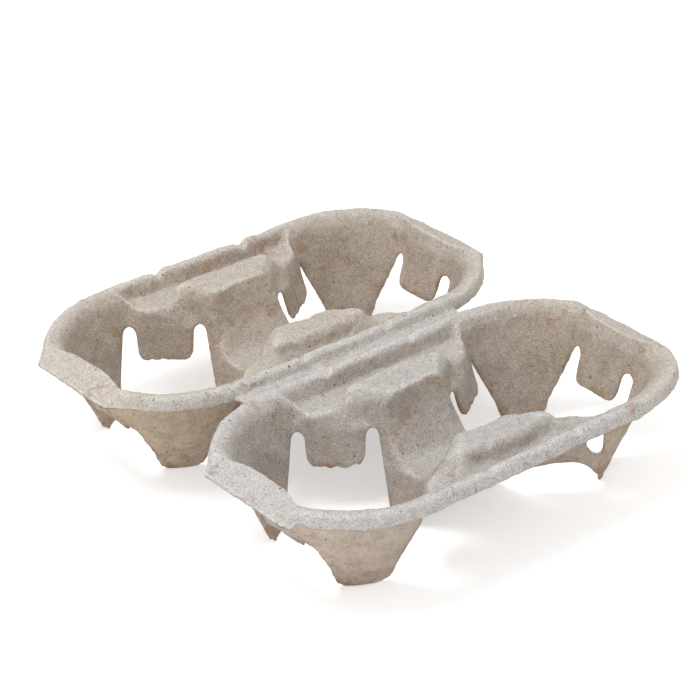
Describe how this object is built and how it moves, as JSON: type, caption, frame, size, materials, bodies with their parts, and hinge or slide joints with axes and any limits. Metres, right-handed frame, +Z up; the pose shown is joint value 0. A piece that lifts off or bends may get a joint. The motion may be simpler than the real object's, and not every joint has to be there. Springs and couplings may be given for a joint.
{
  "type": "moulded pulp cup carrier",
  "caption": "Square carry tray of moulded paper pulp with round cup pockets on splayed legs, gripping tabs and a flanged rim.",
  "frame": {"origin": "middle of the tray at the bottoms of its legs", "axes": "+Z up from the table, +X along a pair of pockets that share a saddle, +Y across the two pairs"},
  "size_m": [0.2076, 0.2196, 0.047],
  "materials": {
    "pulp": "rough, fibrous, uncoated moulded paper pulp"
  },
  "bodies": {
    "root": {"pulp_tray": "pulp"}
  },
  "joints": []
}
